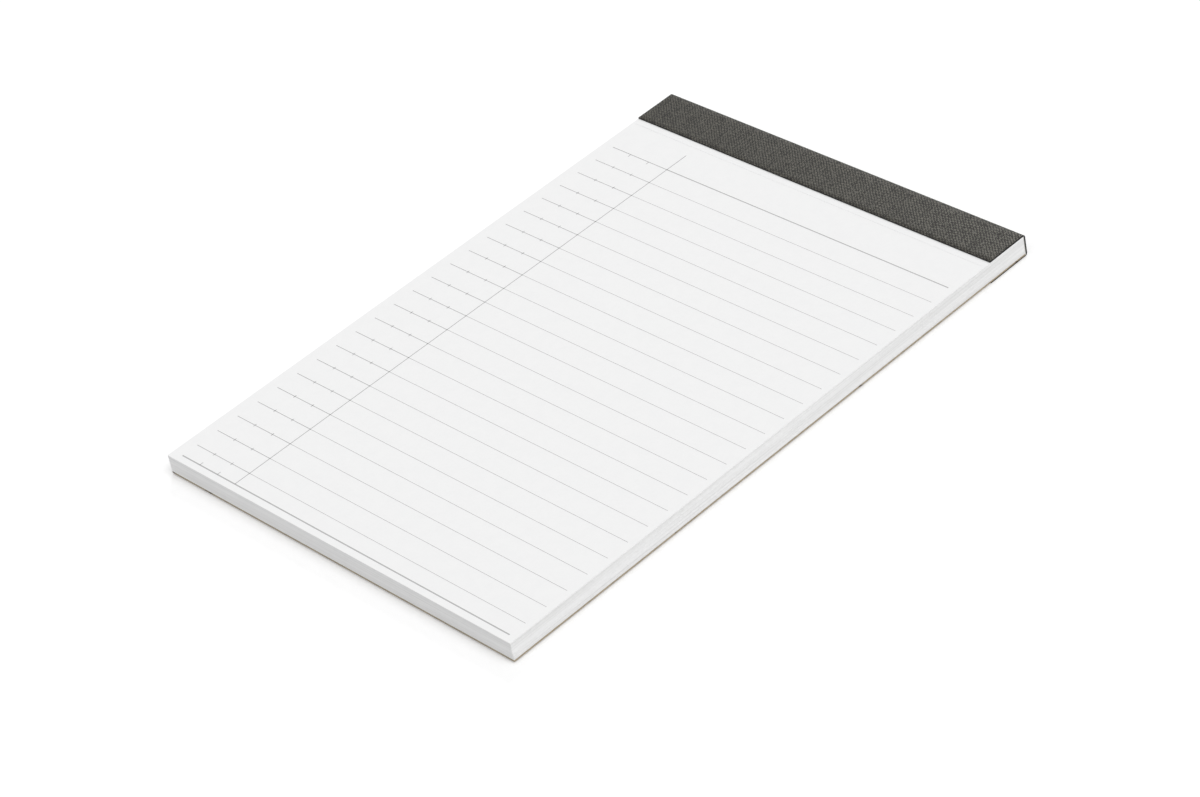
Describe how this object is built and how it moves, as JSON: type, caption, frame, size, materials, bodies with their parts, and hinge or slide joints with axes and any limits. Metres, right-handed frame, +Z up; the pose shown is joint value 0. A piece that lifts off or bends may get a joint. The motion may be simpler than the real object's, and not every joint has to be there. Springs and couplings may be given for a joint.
{
  "type": "legal pad",
  "caption": "Top-bound ruled writing pad: a block of tear-off sheets on a stiff backing board, bound at the head with gum and a folded cloth tape.",
  "frame": {"origin": "middle of the underside of the pad, at the height it lies on", "axes": "+X to the right of the writing side, +Y from the foot edge towards the bound head, +Z up out of the top sheet"},
  "size_m": [0.148, 0.2176, 0.0075],
  "materials": {
    "paper": "matt, smooth, white writing paper",
    "board": "matt, fibrous grey-brown chipboard",
    "tape": "matt charcoal bookcloth with a fine plain weave",
    "gum": "dried white padding gum, satin"
  },
  "bodies": {
    "root": {"writing_sheets": "paper", "backing_board": "board", "head_gum": "gum", "binding_tape": "tape"}
  },
  "joints": []
}
